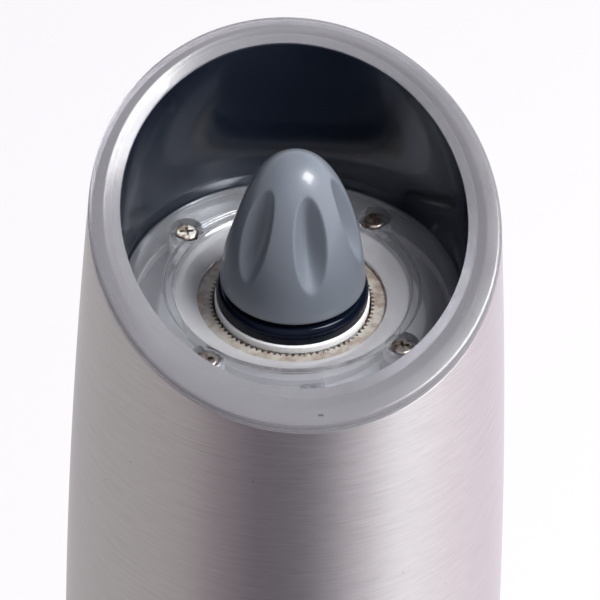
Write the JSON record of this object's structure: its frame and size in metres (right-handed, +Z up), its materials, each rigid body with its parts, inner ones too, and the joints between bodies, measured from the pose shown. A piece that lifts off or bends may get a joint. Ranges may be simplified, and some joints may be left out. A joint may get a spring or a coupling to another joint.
{
  "type": "electric pepper mill",
  "caption": "Gravity-switched pepper mill: slanted grinding mouth with lit clear disc, bullet-shaped fineness knob, clear hopper band and battery base in brushed steel sleeves.",
  "frame": {"origin": "centre of the underside of the foot, where the mill stands", "axes": "+Z up along the mill's axis, -Y towards the low side of the slanted mouth"},
  "size_m": [0.066, 0.066, 0.2085],
  "materials": {
    "steel_sleeve": "fine circumferential brushing, satin",
    "clear_plastic": "clear moulded acrylic, polished",
    "frosted_lip": "clear moulded plastic with a satin face",
    "black_gloss": "polished black moulding",
    "black_matte": "fine moulded texture",
    "grey_knob": "satin moulded plastic",
    "white_ceramic": "unglazed, slightly stained by pepper",
    "rubber": "matte",
    "cell_wrap": "printed sleeve over a steel can",
    "bright_steel": "plain nickel-plated steel",
    "brass": "turned, bare",
    "magnet": "sintered ferrite",
    "lead_wire": "insulated stranded lead",
    "gear_plastic": "acetal, natural",
    "board": "glass-fibre board with solder mask",
    "led_lens": "clear epoxy lens",
    "white_plastic": "plain moulded plastic"
  },
  "bodies": {
    "base": {"foot_ring": "rubber", "base_sleeve": "steel_sleeve", "base_liner": "black_matte"},
    "core": {"battery_frame": "black_matte", "aaa_cells": "cell_wrap", "battery_springs": "bright_steel", "contact_plates": "bright_steel", "motor_can": "bright_steel", "motor_end_cap": "black_matte", "motor_terminals": "brass", "motor_magnets": "magnet", "motor_bushes": "brass", "motor_leads": "lead_wire", "ring_gear": "gear_plastic", "gearbox_cover": "black_matte", "frame_screws": "bright_steel", "output_bush": "brass", "control_board": "board", "tilt_switch_tube": "bright_steel", "core_collar": "black_matte", "hopper": "clear_plastic", "hopper_screws": "bright_steel", "hopper_seals": "rubber", "core_contacts": "brass"},
    "motor_rotor": {"motor_armature": "bright_steel", "motor_shaft": "bright_steel", "sun_gear": "brass"},
    "stage1": {"stage1_carrier": "gear_plastic"},
    "planet1_a": {"stage1_planet_a": "gear_plastic"},
    "planet1_b": {"stage1_planet_b": "gear_plastic"},
    "planet1_c": {"stage1_planet_c": "gear_plastic"},
    "drive": {"stage2_carrier": "gear_plastic", "shaft_coupling": "white_plastic", "drive_shaft": "bright_steel", "feed_paddle": "white_plastic"},
    "planet2_a": {"stage2_planet_a": "gear_plastic"},
    "planet2_b": {"stage2_planet_b": "gear_plastic"},
    "planet2_c": {"stage2_planet_c": "gear_plastic"},
    "tilt_ball": {"tilt_ball": "bright_steel"},
    "head": {"head_sleeve": "steel_sleeve", "head_liner": "black_matte", "mouth_ring": "frosted_lip", "mouth_wall": "black_gloss", "light_disc": "clear_plastic", "disc_screws": "bright_steel", "led_board": "white_plastic", "led": "led_lens", "led_leads": "lead_wire", "burr_housing": "white_plastic", "housing_screws": "bright_steel", "outer_burr": "white_ceramic", "spindle_bush": "brass", "head_contacts": "brass"},
    "spindle": {"burr_spindle": "bright_steel", "spindle_clip": "bright_steel", "burr_spring": "bright_steel"},
    "burr": {"inner_burr": "white_ceramic", "retainer_ring": "black_gloss"},
    "knob": {"adjuster_knob": "grey_knob", "knob_insert": "brass"}
  },
  "joints": [
    {"name": "core_lift", "type": "slide", "parent": "base", "child": "core", "axis": [0, 0, 1], "range_m": [0, 0.075]},
    {"name": "head_lift", "type": "slide", "parent": "core", "child": "head", "axis": [0, 0, 1], "range_m": [0, 0.075]},
    {"name": "motor_spin", "type": "hinge", "parent": "core", "child": "motor_rotor", "pos_m": [0, 0, 0.03], "axis": [0, 0, 1], "continuous": true},
    {"name": "stage1_spin", "type": "hinge", "parent": "core", "child": "stage1", "pos_m": [0, 0, 0.0525], "axis": [0, 0, 1], "continuous": true},
    {"name": "drive_spin", "type": "hinge", "parent": "core", "child": "drive", "pos_m": [0, 0, 0.065], "axis": [0, 0, 1], "continuous": true},
    {"name": "planet1_a_spin", "type": "hinge", "parent": "stage1", "child": "planet1_a", "pos_m": [0.006, 0, 0.0491], "axis": [0, 0, 1], "continuous": true},
    {"name": "planet2_a_spin", "type": "hinge", "parent": "drive", "child": "planet2_a", "pos_m": [0.006, 0, 0.0559], "axis": [0, 0, 1], "continuous": true},
    {"name": "planet1_b_spin", "type": "hinge", "parent": "stage1", "child": "planet1_b", "pos_m": [-0.003, 0.0052, 0.0491], "axis": [0, 0, 1], "continuous": true},
    {"name": "planet2_b_spin", "type": "hinge", "parent": "drive", "child": "planet2_b", "pos_m": [-0.003, 0.0052, 0.0559], "axis": [0, 0, 1], "continuous": true},
    {"name": "planet1_c_spin", "type": "hinge", "parent": "stage1", "child": "planet1_c", "pos_m": [-0.003, -0.0052, 0.0491], "axis": [0, 0, 1], "continuous": true},
    {"name": "planet2_c_spin", "type": "hinge", "parent": "drive", "child": "planet2_c", "pos_m": [-0.003, -0.0052, 0.0559], "axis": [0, 0, 1], "continuous": true},
    {"name": "burr_spin", "type": "hinge", "parent": "head", "child": "spindle", "pos_m": [0, 0, 0.163], "axis": [0, 0, 1], "continuous": true},
    {"name": "burr_gap", "type": "slide", "parent": "spindle", "child": "burr", "axis": [0, 0, 1], "range_m": [0, 0.00075], "deforming": ["burr_spring"]},
    {"name": "knob_turn", "type": "hinge", "parent": "burr", "child": "knob", "pos_m": [0, 0, 0.19], "axis": [0, 0, 1], "range_deg": [0, 270]},
    {"name": "ball_roll", "type": "slide", "parent": "core", "child": "tilt_ball", "axis": [0, 0, 1], "range_m": [0, 0.002]}
  ],
  "couplings": [
    {"joint": "stage1_spin", "follows": "motor_spin", "ratio": 0.20833},
    {"joint": "drive_spin", "follows": "motor_spin", "ratio": 0.043403},
    {"joint": "burr_spin", "follows": "motor_spin", "ratio": 0.043403},
    {"joint": "knob_turn", "follows": "burr_gap", "rad_per_m": 6283.2},
    {"joint": "planet1_a_spin", "follows": "motor_spin", "ratio": -0.56548},
    {"joint": "planet2_a_spin", "follows": "motor_spin", "ratio": -0.11781},
    {"joint": "planet1_b_spin", "follows": "motor_spin", "ratio": -0.56548},
    {"joint": "planet2_b_spin", "follows": "motor_spin", "ratio": -0.11781},
    {"joint": "planet1_c_spin", "follows": "motor_spin", "ratio": -0.56548},
    {"joint": "planet2_c_spin", "follows": "motor_spin", "ratio": -0.11781}
  ]
}
